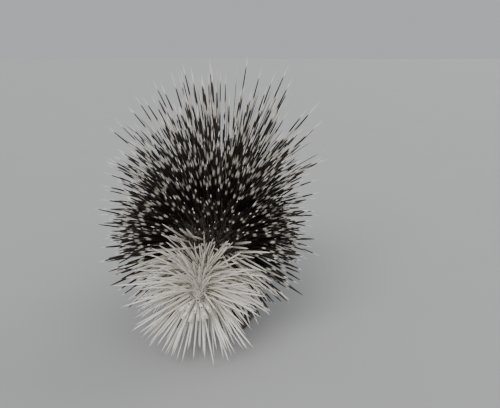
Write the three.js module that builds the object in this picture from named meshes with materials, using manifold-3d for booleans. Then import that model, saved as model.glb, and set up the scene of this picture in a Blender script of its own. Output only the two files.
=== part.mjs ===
import * as THREE from "three";
import { mergeVertices } from "three/addons/utils/BufferGeometryUtils.js";
import Module from "manifold-3d";

const wasm = await Module();
wasm.setup();

// A crested porcupine at life size, standing on its four feet with its quills raised.
// Millimetres, +Z up. The head points along -Y, the tail along +Y, and the animal's left side is +X.

// Gap between touching nodes, and how deep a quill or lock is rooted in its node.
const GAP = 0.35;
const ROOT_DEPTH = 9;
const LOCK_DEPTH = 5;
const FLOOR_CLEARANCE = 6;

// Forms of flesh. Each row is x, y, z, half width, and heights above and below the line through the middle.
// On a leg, above means behind and below means in front.
const TRUNK = [
  [0, -258, 200, 40, 40, 40],
  [0, -205, 204, 57, 56, 57],
  [0, -150, 203, 80, 76, 76],
  [0, -85, 200, 97, 91, 95],
  [0, 0, 200, 105, 101, 104],
  [0, 85, 203, 111, 105, 106],
  [0, 160, 202, 107, 97, 98],
  [0, 215, 196, 86, 78, 80],
  [0, 255, 188, 55, 50, 52],
  [0, 276, 184, 10, 10, 10],
];
const HEAD = [
  [0, -380, 140, 8, 8, 9],
  [0, -375, 142, 27, 25, 27],
  [0, -358, 149, 35, 34, 35],
  [0, -332, 162, 41, 42, 42],
  [0, -302, 176, 49, 49, 49],
  [0, -270, 190, 56, 52, 54],
  [0, -236, 202, 57, 50, 55],
  [0, -196, 206, 42, 40, 42],
];
const TAIL = [
  [0, 244, 187, 31, 28, 28],
  [0, 285, 180, 27, 24, 24],
  [0, 322, 170, 21, 19, 19],
  [0, 352, 160, 15, 14, 14],
  [0, 368, 155, 4, 4, 4],
];
const FORELEG = [
  [56, -96, 182, 22, 32, 34],
  [65, -102, 140, 30, 40, 40],
  [66, -108, 96, 24, 28, 30],
  [64, -112, 60, 19, 20, 22],
  [63, -112, 34, 19, 20, 23],
  [63, -114, 14, 18, 18, 24],
];
const HINDLEG = [
  [66, 140, 196, 26, 46, 46],
  [80, 142, 150, 36, 58, 60],
  [82, 148, 104, 31, 42, 46],
  [80, 160, 64, 22, 26, 30],
  [78, 163, 38, 20, 22, 26],
  [78, 164, 16, 19, 20, 26],
];
const ROUNDNESS = 2.25;

// Planes that part the trunk into neck, torso and rump, and the head from the neck.
const NECK_END = -150;
const RUMP_START = 160;
const HEAD_PLANE = { point: [0, -224, 206], normal: [0, 0.93, 0.37] };

// Eyes, ears, nose and mouth, for the left side. The eye's place is where its lids close over the cheek.
const EYE = { y: -303, z: 197, radius: 7, lid: 2.6 };
const EAR = { at: [48, -254, 226], width: 17, height: 23, thick: 9, wall: 3.2 };
const NOSTRIL = { at: [9, -381, 150], size: [3.2, 4.5, 2.4] };
const MOUTH = [
  [32, -336, 136],
  [28, -354, 127],
  [17, -371, 120],
  [0, -378, 121],
];
const CLEFT = [
  [0, -386, 148],
  [0, -384, 134],
  [0, -380, 122],
];
const LIP = 4.2;
const MOUTH_GROOVE = 1.7;

// Feet: toes by their place across the foot, how far forward they reach, and their claws.
const FOREFOOT = {
  at: [63, -122],
  sole: { back: 22, front: 34, half: 22, high: 24 },
  toes: [
    { across: -19, reach: 50, turn: -15 },
    { across: -6.5, reach: 58, turn: -5 },
    { across: 6.5, reach: 58, turn: 5 },
    { across: 19, reach: 50, turn: 15 },
  ],
  toeRadius: 6.3,
  claw: { length: 17, radius: 3.8 },
};
const HINDFOOT = {
  at: [78, 140],
  sole: { back: 50, front: 36, half: 26, high: 27 },
  toes: [
    { across: -25, reach: 43, turn: -18 },
    { across: -12.5, reach: 56, turn: -8 },
    { across: 0, reach: 60, turn: 0 },
    { across: 12.5, reach: 56, turn: 8 },
    { across: 25, reach: 43, turn: 18 },
  ],
  toeRadius: 6.1,
  claw: { length: 15, radius: 3.6 },
};

const X = new THREE.Vector3(1, 0, 0);
const BACK = new THREE.Vector3(0, 1, 0);
const UP = new THREE.Vector3(0, 0, 1);
const DEGREE = Math.PI / 180;
const at = (p) => new THREE.Vector3(...p);
const mix = THREE.MathUtils.lerp;
const clamp = THREE.MathUtils.clamp;

// A seeded random number from 0 to 1, so that each build gives the same animal.
let seed = 20251;
function random() {
  seed = (seed * 1664525 + 1013904223) % 4294967296;
  return seed / 4294967296;
}
const between = (low, high) => low + (high - low) * random();

// A smooth line through rows of numbers, for t from 0 to 1.
function spline(rows, t) {
  const last = rows.length - 1;
  const place = clamp(t, 0, 1 - 1e-9) * last;
  const i = Math.floor(place);
  const f = place - i;
  const past = (end, next) => end.map((v, k) => 2 * v - next[k]);
  const before = i > 0 ? rows[i - 1] : past(rows[0], rows[1]);
  const after = i + 2 <= last ? rows[i + 2] : past(rows[last], rows[last - 1]);
  return rows[i].map((b, k) => {
    const a = before[k];
    const c = rows[i + 1][k];
    const d = after[k];
    const square = 2 * a - 5 * b + 4 * c - d;
    const cube = 3 * b - a - 3 * c + d;
    return 0.5 * (2 * b + (c - a) * f + square * f ** 2 + cube * f ** 3);
  });
}

// Middle, sideways, upward and lengthwise directions of a form at t.
function frameAt(rows, t) {
  const row = spline(rows, t);
  const middle = new THREE.Vector3(...row.slice(0, 3));
  const along = new THREE.Vector3(...spline(rows, t + 1e-3).slice(0, 3));
  along.sub(new THREE.Vector3(...spline(rows, t - 1e-3).slice(0, 3))).normalize();
  const side = X.clone().addScaledVector(along, -X.dot(along)).normalize();
  const up = new THREE.Vector3().crossVectors(side, along);
  return { middle, side, up, along, half: row[3], above: row[4], below: row[5] };
}

// A point on a form's surface. Angle 0 is the top, and a quarter turn is the left side.
function pointOn(rows, t, angle, grow = 0) {
  const f = frameAt(rows, t);
  const round = (v) => Math.sign(v) * Math.abs(v) ** (2 / ROUNDNESS);
  const high = Math.cos(angle) > 0 ? f.above : f.below;
  return f.middle
    .addScaledVector(f.side, (f.half + grow) * round(Math.sin(angle)))
    .addScaledVector(f.up, (high + grow) * round(Math.cos(angle)));
}

function normalOn(rows, t, angle) {
  const step = 4e-3;
  const ahead = pointOn(rows, Math.min(t + step, 1), angle);
  const lengthwise = ahead.sub(pointOn(rows, Math.max(t - step, 0), angle));
  const round = pointOn(rows, t, angle + step).sub(pointOn(rows, t, angle - step));
  return round.cross(lengthwise).normalize();
}

// The t at which a form's middle passes a given y.
function tAtY(rows, y) {
  let low = 0;
  let high = 1;
  const rising = rows[rows.length - 1][1] > rows[0][1];
  for (let k = 0; k < 30; k++) {
    const t = (low + high) / 2;
    if (spline(rows, t)[1] < y === rising) low = t;
    else high = t;
  }
  return (low + high) / 2;
}

// A closed surface through rings of points, with both ends closed to their middles.
function skinned(rings) {
  const sides = rings[0].length;
  const points = rings.flat();
  const faces = [];
  for (let i = 0; i + 1 < rings.length; i++) {
    for (let j = 0; j < sides; j++) {
      const a = i * sides + j;
      const b = i * sides + ((j + 1) % sides);
      faces.push(a, b, b + sides, a, b + sides, a + sides);
    }
  }
  const middle = (ring) => ring.reduce((sum, p) => sum.add(p), new THREE.Vector3()).divideScalar(sides);
  const first = points.push(middle(rings[0])) - 1;
  const last = points.push(middle(rings[rings.length - 1])) - 1;
  const end = (rings.length - 1) * sides;
  for (let j = 0; j < sides; j++) {
    const next = (j + 1) % sides;
    faces.push(first, next, j, last, end + j, end + next);
  }
  return new THREE.BufferGeometry().setFromPoints(points).setIndex(faces);
}

function formed(rows, steps, sides, grow = 0) {
  const rings = [];
  for (let i = 0; i <= steps; i++) {
    const ring = [];
    for (let j = 0; j < sides; j++) ring.push(pointOn(rows, i / steps, (2 * Math.PI * j) / sides, grow));
    rings.push(ring);
  }
  rings[0].forEach((p) => p.addScaledVector(frameAt(rows, 0).along, -grow));
  rings[steps].forEach((p) => p.addScaledVector(frameAt(rows, 1).along, grow));
  return solid(skinned(rings));
}

// Joins and cuts of closed geometries.
function solid(geometry) {
  const bare = geometry.clone();
  bare.deleteAttribute("normal");
  bare.deleteAttribute("uv");
  const merged = mergeVertices(bare, 1e-4);
  return new wasm.Manifold(
    new wasm.Mesh({
      numProp: 3,
      vertProperties: new Float32Array(merged.attributes.position.array),
      triVerts: new Uint32Array(merged.index.array),
    }),
  );
}

// The largest closed surface of a solid, without loose scraps and sealed hollows.
function largest(shape) {
  return shape.decompose().reduce((best, body) => (body.volume() > best.volume() ? body : best));
}

function fused(pieces) {
  let joined = pieces;
  while (joined.length > 1) {
    const halved = [];
    for (let i = 0; i < joined.length; i += 2) {
      halved.push(i + 1 < joined.length ? joined[i].add(joined[i + 1]) : joined[i]);
    }
    joined = halved;
  }
  return joined[0];
}

const cutAt = (shape, normal, point) => {
  const n = at(normal).normalize();
  return shape.trimByPlane(n.toArray(), n.dot(at(point)));
};
const mirrored = (p) => [-p[0], p[1], p[2]];
const sided = (rows, left) => (left ? rows : rows.map((row) => [-row[0], ...row.slice(1)]));

function egg(centre, radii, turn = [0, 0, 0], detail = [9, 6]) {
  const geometry = new THREE.SphereGeometry(1, ...detail);
  geometry.scale(...radii);
  geometry.applyMatrix4(new THREE.Matrix4().makeRotationFromEuler(new THREE.Euler(...turn)));
  geometry.translate(...centre);
  return solid(geometry);
}

// A tube of even radius along a smooth line through points.
function tube(points, radius, steps, sides) {
  const path = new THREE.CatmullRomCurve3(points.map(at));
  const section = new THREE.Shape();
  for (let k = 0; k < sides; k++) {
    const a = (2 * Math.PI * k) / sides;
    const x = radius * Math.cos(a);
    const y = radius * Math.sin(a);
    if (k) section.lineTo(x, y);
    else section.moveTo(x, y);
  }
  return solid(new THREE.ExtrudeGeometry(section, { steps, extrudePath: path, curveSegments: 1 }));
}

// The trunk and head, parted into nodes by thin cuts.
const trunk = formed(TRUNK, 16, 18);
const skull = formed(HEAD, 14, 14);
const behind = (shape, y) => cutAt(shape, [0, 1, 0], [0, y + GAP / 2, 0]);
const ahead = (shape, y) => cutAt(shape, [0, -1, 0], [0, y - GAP / 2, 0]);
const headPlane = at(HEAD_PLANE.normal).normalize();
const headCut = (side) => at(HEAD_PLANE.point).addScaledVector(headPlane, (side * GAP) / 2).toArray();
const front = trunk.add(skull);
const neckFlesh = ahead(cutAt(front, HEAD_PLANE.normal, headCut(1)), NECK_END);
const torsoFlesh = ahead(behind(trunk, NECK_END), RUMP_START);
const rumpFlesh = behind(trunk, RUMP_START);
const grownTrunk = formed(TRUNK, 16, 18, GAP);

// Head: lids, lips and nostrils are raised or sunk in its own surface.
const headSpot = (y, z, side) => {
  const t = tAtY(HEAD, y);
  const { middle, above } = frameAt(HEAD, t);
  const angle = Math.acos(clamp((z - middle.z) / above, -1, 1));
  return { point: pointOn(HEAD, t, side * angle), normal: normalOn(HEAD, t, side * angle) };
};
function eyeAt(side) {
  const { point, normal } = headSpot(EYE.y, EYE.z, side);
  return { centre: point.clone().addScaledVector(normal, -EYE.radius * 0.45), normal };
}
function lids(side) {
  const { centre, normal } = eyeAt(side);
  const ring = new THREE.TorusGeometry(EYE.radius - 0.4, EYE.lid, 4, 11);
  ring.scale(1.15, 0.85, 1);
  const turn = new THREE.Matrix4().lookAt(normal, new THREE.Vector3(), UP);
  ring.applyMatrix4(turn);
  ring.translate(...centre.clone().addScaledVector(normal, EYE.radius * 0.5).toArray());
  return solid(ring);
}
const eyeball = (side, grow) => {
  const { centre } = eyeAt(side);
  return egg(centre.toArray(), Array(3).fill(EYE.radius + grow), [0, 0, 0], [9, 7]);
};
const mouthLine = [...MOUTH, ...MOUTH.slice(0, -1).reverse().map(mirrored)];
const nosePart = (radii, forward, turn, detail) =>
  [1, -1].map((side) => {
    const [x, y, z] = NOSTRIL.at;
    return egg([side * x, y - forward, z], radii, [0, side * turn, 0], detail);
  });
const noseRims = nosePart([9, 8, 8], -5, 0, [8, 5]);
const nostrils = nosePart(NOSTRIL.size, 3, 0.7, [6, 4]);
const cleft = tube(CLEFT, 1.3, 4, 4);
let headShape = cutAt(front, HEAD_PLANE.normal.map((v) => -v), headCut(-1));
headShape = fused([headShape, lids(1), lids(-1), ...noseRims, tube(mouthLine, LIP, 10, 5)]);
const mouth = tube(mouthLine, MOUTH_GROOVE, 10, 4);
for (const hole of [eyeball(1, GAP), eyeball(-1, GAP), ...nostrils, cleft, mouth]) {
  headShape = headShape.subtract(hole);
}
headShape = largest(headShape);

// Ears: rounded cups that open forwards and outwards.
function ear(side) {
  const [x, y, z] = EAR.at;
  const turn = [-0.25, side * 0.42, side * -0.5];
  const shell = egg([side * x, y, z], [EAR.width, EAR.thick, EAR.height], turn, [11, 7]);
  const hollow = egg(
    [side * (x + 4), y - EAR.thick * 0.75, z + 2],
    [EAR.width - EAR.wall, EAR.thick, EAR.height - EAR.wall],
    turn,
    [9, 6],
  );
  return largest(shell.subtract(hollow).subtract(formed(HEAD, 14, 14, GAP)).subtract(grownTrunk));
}

// Legs and feet. A foot is a flat-soled pad with toes, and each claw starts on its toe's blunt end.
function pad(side, foot) {
  const [x, y] = foot.at;
  const { back, front: fore, half, high } = foot.sole;
  const rows = [
    [side * x, y + back, high * 0.42, half * 0.5, high * 0.35, high * 0.42],
    [side * x, y + back * 0.6, high * 0.5, half * 0.82, high * 0.5, high * 0.55],
    [side * x, y, high * 0.5, half * 0.94, high * 0.55, high * 0.6],
    [side * x, y - fore * 0.6, high * 0.4, half * 1.1, high * 0.42, high * 0.5],
    [side * x, y - fore, high * 0.34, half, high * 0.28, high * 0.4],
  ];
  return formed(rows.reverse(), 4, 9);
}
function toeLine(side, foot, toe) {
  const [x, y] = foot.at;
  const across = side * toe.across * -1;
  const turn = side * toe.turn * -1 * DEGREE;
  const forward = new THREE.Vector3(Math.sin(turn), -Math.cos(turn), 0);
  const start = new THREE.Vector3(side * x + across, y - foot.sole.front * 0.55, foot.toeRadius * 1.05);
  const end = start.clone().addScaledVector(forward, toe.reach - foot.sole.front * 0.55);
  end.z = foot.toeRadius * 0.85;
  return { start, end, forward };
}
function toe(side, foot, digit) {
  const { start, end } = toeLine(side, foot, digit);
  const r = foot.toeRadius;
  const row = (share, size) => {
    const p = start.clone().lerp(end, share);
    return [p.x, p.y, p.z, r * size, r * size, r * size];
  };
  const rows = [row(1, 0.55), row(0.93, 0.78), row(0.78, 0.98), row(0.45, 0.92), row(0, 0.9)];
  return formed(rows, 4, 5);
}
function claw(side, foot, digit) {
  const { end, forward } = toeLine(side, foot, digit);
  const { length, radius } = foot.claw;
  const base = end.clone().addScaledVector(forward, GAP);
  const rings = [0, 0.4, 1].map((share) => {
    const r = radius * (1 - 0.86 * share ** 1.6);
    const middle = base.clone().addScaledVector(forward, length * share);
    middle.z = Math.max(end.z - length * 0.22 * share ** 2, r + 0.6);
    const across = new THREE.Vector3(-forward.y, forward.x, 0);
    return [0, 1, 2, 3, 4].map((k) => {
      const a = (k * 2 * Math.PI) / 5;
      const p = middle.clone().addScaledVector(across, Math.sin(a) * r * 0.8);
      return p.addScaledVector(UP, Math.cos(a) * r);
    });
  });
  return solid(skinned(rings.reverse()));
}
function leg(side, rows) {
  const limb = formed(sided(rows, side > 0), 9, 10);
  return limb.subtract(grownTrunk);
}
const footPieces = (side, foot) => [pad(side, foot), ...foot.toes.map((digit) => toe(side, foot, digit))];
const above = (shape, height) => cutAt(shape, [0, 0, 1], [0, 0, height]);
const under = (shape, height) => cutAt(shape, [0, 0, -1], [0, 0, height]);

// The parts without their coat, by the name of their node.
const flesh = {
  head: headShape,
  neck: neckFlesh,
  torso: torsoFlesh,
  rump: rumpFlesh,
  tail: formed(TAIL, 8, 12).subtract(grownTrunk),
};
const claws = {};
for (const [word, side] of [["left", 1], ["right", -1]]) {
  flesh[`eye_${word}`] = eyeball(side, 0);
  flesh[`ear_${word}`] = ear(side);
  const limbs = [
    { end: "fore", rows: FORELEG, foot: FOREFOOT, cut: 34 },
    { end: "hind", rows: HINDLEG, foot: HINDFOOT, cut: 40 },
  ];
  for (const { end, rows, foot, cut } of limbs) {
    const limb = leg(side, rows);
    flesh[`${end}leg_${word}`] = above(limb, cut + GAP);
    flesh[`${end}foot_${word}`] = above(fused([under(limb, cut), ...footPieces(side, foot)]), 0);
    foot.toes.forEach((digit, k) => {
      claws[`claw_${end}_${word}_${k + 1}`] = claw(side, foot, digit);
    });
  }
}

// Quills and locks are planned first, as lines with a thickness, so that none crosses another node.
// A piece's points run from its sunk root to its tip, and its sizes are half widths and half thicknesses.
const coats = Object.fromEntries(Object.keys(flesh).map((name) => [name, []]));
const ROOM = 1.2;

// The distance between two straight lines.
function lineGap(a, b) {
  const u = a.end.clone().sub(a.start);
  const v = b.end.clone().sub(b.start);
  const w = a.start.clone().sub(b.start);
  const [uu, uv, vv, uw, vw] = [u.dot(u), u.dot(v), v.dot(v), u.dot(w), v.dot(w)];
  const across = uu * vv - uv * uv;
  let s = across > 1e-6 ? clamp((uv * vw - vv * uw) / across, 0, 1) : 0;
  const t = clamp((uv * s + vw) / vv, 0, 1);
  s = clamp((uv * t - uw) / uu, 0, 1);
  return a.start.clone().addScaledVector(u, s).distanceTo(b.start.clone().addScaledVector(v, t));
}
const linesOf = ({ points }) => points.slice(1).map((p, k) => ({ start: points[k], end: p }));

// The closed solid of a planned piece: rings of a few sides that end in a point.
function spike({ points, sizes, across, sides }, grow = 0) {
  const corners = [];
  sizes.forEach(([half, thick], i) => {
    const along = points[i + 1].clone().sub(points[Math.max(i - 1, 0)]).normalize();
    const side = across.clone().addScaledVector(along, -across.dot(along)).normalize();
    const up = new THREE.Vector3().crossVectors(side, along);
    for (let j = 0; j < sides; j++) {
      const a = (2 * Math.PI * j) / sides;
      const wide = side.clone().multiplyScalar((half + grow) * Math.sin(a));
      corners.push(wide.addScaledVector(up, (thick + grow) * Math.cos(a)).add(points[i]));
    }
  });
  const faces = [];
  for (let j = 1; j + 1 < sides; j++) faces.push(0, j + 1, j);
  for (let i = 0; i + 1 < sizes.length; i++) {
    for (let j = 0; j < sides; j++) {
      const a = i * sides + j;
      const b = i * sides + ((j + 1) % sides);
      faces.push(a, b, b + sides, a, b + sides, a + sides);
    }
  }
  const end = (sizes.length - 1) * sides;
  const tip = corners.push(points[points.length - 1].clone()) - 1;
  for (let j = 0; j < sides; j++) faces.push(end + j, end + ((j + 1) % sides), tip);
  return solid(new THREE.BufferGeometry().setFromPoints(corners).setIndex(faces));
}

function clearOfPieces(piece, others) {
  return others.every((other) => {
    if (!other.box.intersectsBox(piece.box) || (piece.overlaps && other.overlaps)) return true;
    const room = piece.reach + other.reach + ROOM;
    return linesOf(piece).every((a) => linesOf(other).every((b) => lineGap(a, b) > room));
  });
}
const boxOf = (shape) => new THREE.Box3(at(shape.boundingBox().min), at(shape.boundingBox().max));
const fleshBoxes = Object.fromEntries(Object.entries(flesh).map(([name, shape]) => [name, boxOf(shape)]));
function clearOfFlesh(piece) {
  const grown = spike(piece, GAP + 0.3);
  return Object.entries(flesh).every(([name, shape]) => {
    if (name === piece.node || !fleshBoxes[name].intersectsBox(piece.box)) return true;
    return grown.intersect(shape).isEmpty();
  });
}
function plan(piece) {
  piece.reach = Math.max(...piece.sizes.flat());
  piece.box = new THREE.Box3().setFromPoints(piece.points).expandByScalar(piece.reach + ROOM);
  const lowest = Math.min(...piece.points.map((p) => p.z));
  if (lowest < piece.reach + FLOOR_CLEARANCE) return false;
  if (!clearOfPieces(piece, Object.values(coats).flat()) || !clearOfFlesh(piece)) return false;
  coats[piece.node].push(piece);
  return true;
}
function firstThatFits(tries, make) {
  for (let k = 0; k < tries; k++) {
    if (plan(make())) return;
  }
}

// Root places spread evenly over a form in staggered rows, between two y and two angles from the top.
function spread(rows, { from, to, low = 0, high, spacing }) {
  const places = [];
  const tFrom = tAtY(rows, from);
  const tTo = tAtY(rows, to);
  const steps = 400;
  let last = null;
  let odd = 0;
  for (let k = 0; k <= steps; k++) {
    const t = mix(tFrom, tTo, k / steps);
    const spot = pointOn(rows, t, 0.6);
    if (last && spot.distanceTo(last) < spacing * 0.9) continue;
    last = spot;
    odd = 1 - odd;
    const f = frameAt(rows, t);
    const step = spacing / ((f.half + f.above) / 2);
    const count = Math.max(1, Math.floor((high - low) / step));
    for (let j = 0; j <= count; j++) {
      const angle = low + ((j + odd / 2) * (high - low)) / count;
      if (angle > high) continue;
      for (const side of angle < 1e-3 ? [1] : [1, -1]) places.push({ t, angle: side * angle, step });
    }
  }
  return places;
}
const jittered = (v, amount) =>
  v.add(new THREE.Vector3(between(-1, 1), between(-1, 1), between(-1, 1)).multiplyScalar(amount));

// A quill tapers both ways from its thickest place, and a long one bends back and droops towards its tip.
function quill(name, rows, place, { lean, length, radius, bend = 0, stray = 0.09 }) {
  firstThatFits(9, () => {
    const t = place.t + between(-0.006, 0.006);
    const angle = place.angle + between(-0.25, 0.25) * place.step;
    const root = pointOn(rows, t, angle);
    const out = normalOn(rows, t, angle);
    const direction = jittered(out.addScaledVector(BACK, lean).normalize(), stray).normalize();
    const sag = BACK.clone().multiplyScalar(bend).addScaledVector(UP, -bend * 0.35);
    const straight = (share) => root.clone().addScaledVector(direction, length * share);
    const on = (share) => straight(share).addScaledVector(sag, share ** 2);
    const mids = bend > 30 ? [0.36, 0.7] : [0.42];
    const thick = (share) => Array(2).fill(radius * (share > 0.6 ? 0.8 : 1));
    return {
      node: name,
      points: [straight(-ROOT_DEPTH / length), ...mids.map(on), on(1)],
      sizes: [Array(2).fill(radius * 0.7), ...mids.map(thick)],
      across: jittered(new THREE.Vector3().crossVectors(direction, BACK), 0.3),
      sides: 3,
    };
  });
}

// A flat, tapered lock with a ridge. It lies back over the skin, lifts off it and bends in at its tip.
function lock(name, rows, place, { lie, length, width, lift }) {
  firstThatFits(6, () => {
    const angle = place.angle + between(-0.2, 0.2) * place.step;
    const root = pointOn(rows, place.t, angle);
    const out = normalOn(rows, place.t, angle);
    const flat = lie.clone().addScaledVector(out, -lie.dot(out)).normalize();
    const along = jittered(flat, 0.12).normalize();
    const long = length * between(0.88, 1.12);
    const over = (share) => root.clone().addScaledVector(along, long * share);
    const on = (share, high) => over(share).addScaledVector(out, high);
    return {
      node: name,
      points: [on(-0.05, -LOCK_DEPTH), on(0.32, lift * 0.8), on(0.7, lift), on(1, lift * 0.8)],
      sizes: [[width * 0.35, 2], [width * 0.55, 2], [width * 0.4, 1.4]],
      across: new THREE.Vector3().crossVectors(along, out),
      sides: 3,
      overlaps: true,
    };
  });
}

// Crest: long, thin bristles from the crown to the withers.
const CRESTS = [
  { name: "head", rows: HEAD, from: -285, to: -238, high: 0.5, spacing: 14, shortest: 110, longest: 180 },
  { name: "neck", rows: TRUNK, from: -212, to: -160, high: 0.85, spacing: 21, shortest: 240, longest: 345 },
  { name: "torso", rows: TRUNK, from: -140, to: -106, high: 1.0, spacing: 23, shortest: 330, longest: 425 },
];
for (const crest of CRESTS) {
  for (const place of spread(crest.rows, crest)) {
    const length = between(crest.shortest, crest.longest) * (1 - 0.3 * Math.abs(Math.sin(place.angle)));
    const bend = length * 0.17;
    quill(crest.name, crest.rows, place, { lean: 0.32, length, radius: 1.7, bend, stray: 0.06 });
  }
}

// Back: long banded quills among short, stout ones. They lean further back towards the rump and low down.
const BACK_QUILLS = { from: -98, to: 152, high: 1.75, spacing: 28 };
for (const place of spread(TRUNK, BACK_QUILLS)) {
  const { y } = frameAt(TRUNK, place.t).middle;
  const share = (y - BACK_QUILLS.from) / (BACK_QUILLS.to - BACK_QUILLS.from);
  const low = Math.sin(place.angle) ** 2;
  const overShoulder = y < -40 ? 1 - 0.35 * low : 1;
  const long = mix(385, 245, share) * (1 - 0.36 * low) * overShoulder;
  const stout = random() < 0.36;
  const length = long * (stout ? between(0.5, 0.62) : between(0.86, 1.04));
  quill("torso", TRUNK, place, {
    lean: mix(0.12, 0.6, share) + 0.5 * low,
    length,
    radius: stout ? 3.2 : 2.5,
    bend: stout ? 0 : length * 0.06,
  });
}

// Rump: stout quills that point back and out, shorter and whiter low down and towards the tail.
const RUMP_QUILLS = { from: 170, to: 264, high: 2.45, spacing: 22.5 };
for (const place of spread(TRUNK, RUMP_QUILLS)) {
  const { y } = frameAt(TRUNK, place.t).middle;
  const share = (y - RUMP_QUILLS.from) / (RUMP_QUILLS.to - RUMP_QUILLS.from);
  const low = (1 - Math.cos(place.angle)) / 2;
  const length = mix(215, 120, share) * (1 - 0.42 * low) * between(0.82, 1.06);
  quill("rump", TRUNK, place, { lean: 0.55, length, radius: 2.9 });
}

// Tail: white quills that spread outwards and back all round it.
for (const place of spread(TAIL, { from: 292, to: 352, high: Math.PI, spacing: 13.5 })) {
  const low = (1 - Math.cos(place.angle)) / 2;
  const length = mix(95, 160, low) * between(0.85, 1.06);
  quill("tail", TAIL, place, { lean: 0.5, length, radius: 2.3, stray: 0.12 });
}

// Locks: the bristly coat of the neck, shoulders, flanks and thighs.
const DOWN_AND_BACK = new THREE.Vector3(0, 1, -0.3);
const LOCKS = [
  { name: "neck", from: -208, to: -172, low: 1.0, high: 3.1, spacing: 24, length: 44, width: 20, lift: 6.5 },
  { name: "torso", from: -138, to: -52, low: 1.15, high: 2.5, spacing: 26, length: 54, width: 21, lift: 6.5 },
  { name: "torso", from: -48, to: 112, low: 1.9, high: 2.6, spacing: 29, length: 56, width: 22, lift: 6.5 },
];
for (const locks of LOCKS) {
  for (const place of spread(TRUNK, locks)) lock(locks.name, TRUNK, place, { lie: DOWN_AND_BACK, ...locks });
}
const THIGH_LOCKS = { lie: new THREE.Vector3(0, 0.75, -0.7), length: 42, width: 17, lift: 5 };
for (const [word, side] of [["left", 1], ["right", -1]]) {
  const rows = sided(HINDLEG, side > 0);
  for (let row = 0; row < 4; row++) {
    for (let k = 0; k < 3; k++) {
      const angle = side * (Math.PI / 2 + (k - 1 + (row % 2) / 2) * 0.5);
      lock(`hindleg_${word}`, rows, { t: 0.27 + row * 0.085, angle, step: 0.3 }, THIGH_LOCKS);
    }
  }
}

// Rattle: hollow, blunt quills on thin stalks at the end of the tail.
const RATTLE = { count: 9, narrow: 3, stalk: 1.3, cup: 3.4 };
function rattle() {
  const end = frameAt(TAIL, 0.93);
  return Array.from({ length: RATTLE.count }, (_, k) => {
    const turn = (2 * Math.PI * k * 4) / RATTLE.count;
    const open = k < RATTLE.narrow ? 0.25 : 0.7;
    const direction = end.along.clone().addScaledVector(end.side, Math.sin(turn) * open);
    direction.addScaledVector(end.up, Math.cos(turn) * open - 0.12).normalize();
    const length = between(50, 62);
    const across = new THREE.Vector3().crossVectors(direction, end.side).normalize();
    const lift = new THREE.Vector3().crossVectors(across, direction);
    const ring = (share, radius) =>
      [0, 1, 2, 3, 4].map((j) => {
        const a = (j * 2 * Math.PI) / 5;
        const p = end.middle.clone().addScaledVector(direction, 2 + length * share);
        return p.addScaledVector(across, radius * Math.sin(a)).addScaledVector(lift, radius * Math.cos(a));
      });
    const { stalk, cup } = RATTLE;
    const outside = [ring(0, stalk), ring(0.4, stalk), ring(0.5, cup * 0.93), ring(1, cup)];
    return solid(skinned([...outside, ring(0.7, cup / 2)]));
  });
}
flesh.tail = fused([flesh.tail, ...rattle()]);

// Every node, with the colour and roughness of its surface.
const FINISHES = {
  head: [0x3a322c, 0.85],
  eye: [0x0b0908, 0.1],
  ear: [0x3a322c, 0.8],
  neck: [0x6b625a, 0.7],
  torso: [0x2c2622, 0.5],
  rump: [0x2c2622, 0.5],
  tail: [0xddd5c4, 0.5],
  foreleg: [0x3a322c, 0.85],
  hindleg: [0x3a322c, 0.85],
  forefoot: [0x332a25, 0.7],
  hindfoot: [0x332a25, 0.7],
  claw: [0x2a2320, 0.35],
};
const shapes = { ...claws };
for (const [name, shape] of Object.entries(flesh)) {
  shapes[name] = largest(fused([shape, ...coats[name].map((piece) => spike(piece))]));
}

// The origin is on the floor, under the middle of the whole animal.
const whole = Object.values(shapes).reduce((box, shape) => box.union(boxOf(shape)), new THREE.Box3());
const middle = whole.getCenter(new THREE.Vector3());
const group = new THREE.Group();
group.position.set(-middle.x, -middle.y, 0);
for (const [name, shape] of Object.entries(shapes)) {
  const mesh = shape.getMesh();
  const geometry = new THREE.BufferGeometry();
  geometry.setAttribute("position", new THREE.BufferAttribute(mesh.vertProperties, 3));
  geometry.setIndex(new THREE.BufferAttribute(mesh.triVerts, 1));
  geometry.computeVertexNormals();
  const [color, roughness] = FINISHES[name.split("_")[0]];
  const piece = new THREE.Mesh(geometry, new THREE.MeshStandardMaterial({ color, roughness, metalness: 0 }));
  piece.name = name;
  group.add(piece);
}
export default group;
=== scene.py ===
"""A crested porcupine at life size: it stands with its quills raised and its tail turned to the camera."""
import math

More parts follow.
